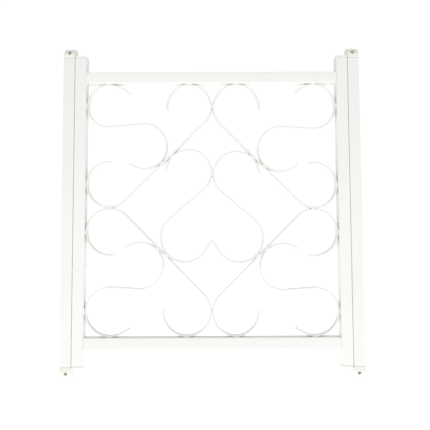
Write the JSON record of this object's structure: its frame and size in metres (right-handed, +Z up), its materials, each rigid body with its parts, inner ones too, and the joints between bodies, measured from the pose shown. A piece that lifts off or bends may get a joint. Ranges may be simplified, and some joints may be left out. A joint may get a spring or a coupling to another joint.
{
  "type": "window security bar",
  "caption": "Scrollwork window guard in square tube, with side rails that telescope outwards to fit the opening and sloped mounting feet for wall screws.",
  "frame": {"origin": "middle of the guard's footprint, level with the underside of the bottom feet", "axes": "+X to the right as seen from outside, +Y from the guard towards the wall, +Z up along the stiles"},
  "size_m": [0.6616, 0.0284, 0.732],
  "materials": {
    "frame_coat": "white powder coat, satin",
    "scroll_coat": "white powder coat, satin",
    "side_coat": "white powder coat, satin",
    "arm_zinc": "bright zinc plate",
    "cap_plastic": "moulded white plastic, fine grain",
    "foot_plastic": "moulded off-white plastic, fine grain",
    "screw_steel": "zinc plate"
  },
  "bodies": {
    "guard_frame": {"bottom_rail": "frame_coat", "clamp_screw_bottom_left": "screw_steel", "clamp_screw_bottom_right": "screw_steel", "clamp_screw_top_left": "screw_steel", "clamp_screw_top_right": "screw_steel", "corner_scroll_bottom_left": "scroll_coat", "corner_scroll_bottom_right": "scroll_coat", "corner_scroll_top_left": "scroll_coat", "corner_scroll_top_right": "scroll_coat", "diagonal_scroll_bottom_left": "scroll_coat", "diagonal_scroll_bottom_right": "scroll_coat", "diagonal_scroll_top_left": "scroll_coat", "diagonal_scroll_top_right": "scroll_coat", "heart_scroll_left": "scroll_coat", "heart_scroll_right": "scroll_coat", "left_stile": "frame_coat", "right_stile": "frame_coat", "stile_cap_bottom_left": "cap_plastic", "stile_cap_bottom_right": "cap_plastic", "stile_cap_top_left": "cap_plastic", "stile_cap_top_right": "cap_plastic", "top_rail": "frame_coat"},
    "left_expander": {"left_side_rail": "side_coat", "top_arm_left": "arm_zinc", "bottom_arm_left": "arm_zinc", "mounting_foot_top_left": "foot_plastic", "mounting_foot_bottom_left": "foot_plastic"},
    "right_expander": {"right_side_rail": "side_coat", "top_arm_right": "arm_zinc", "bottom_arm_right": "arm_zinc", "mounting_foot_top_right": "foot_plastic", "mounting_foot_bottom_right": "foot_plastic"}
  },
  "joints": [
    {"name": "left_rail_slide", "type": "slide", "parent": "guard_frame", "child": "left_expander", "axis": [-1, 0, 0], "range_m": [0, 0.05]},
    {"name": "right_rail_slide", "type": "slide", "parent": "guard_frame", "child": "right_expander", "axis": [1, 0, 0], "range_m": [0, 0.05]}
  ]
}
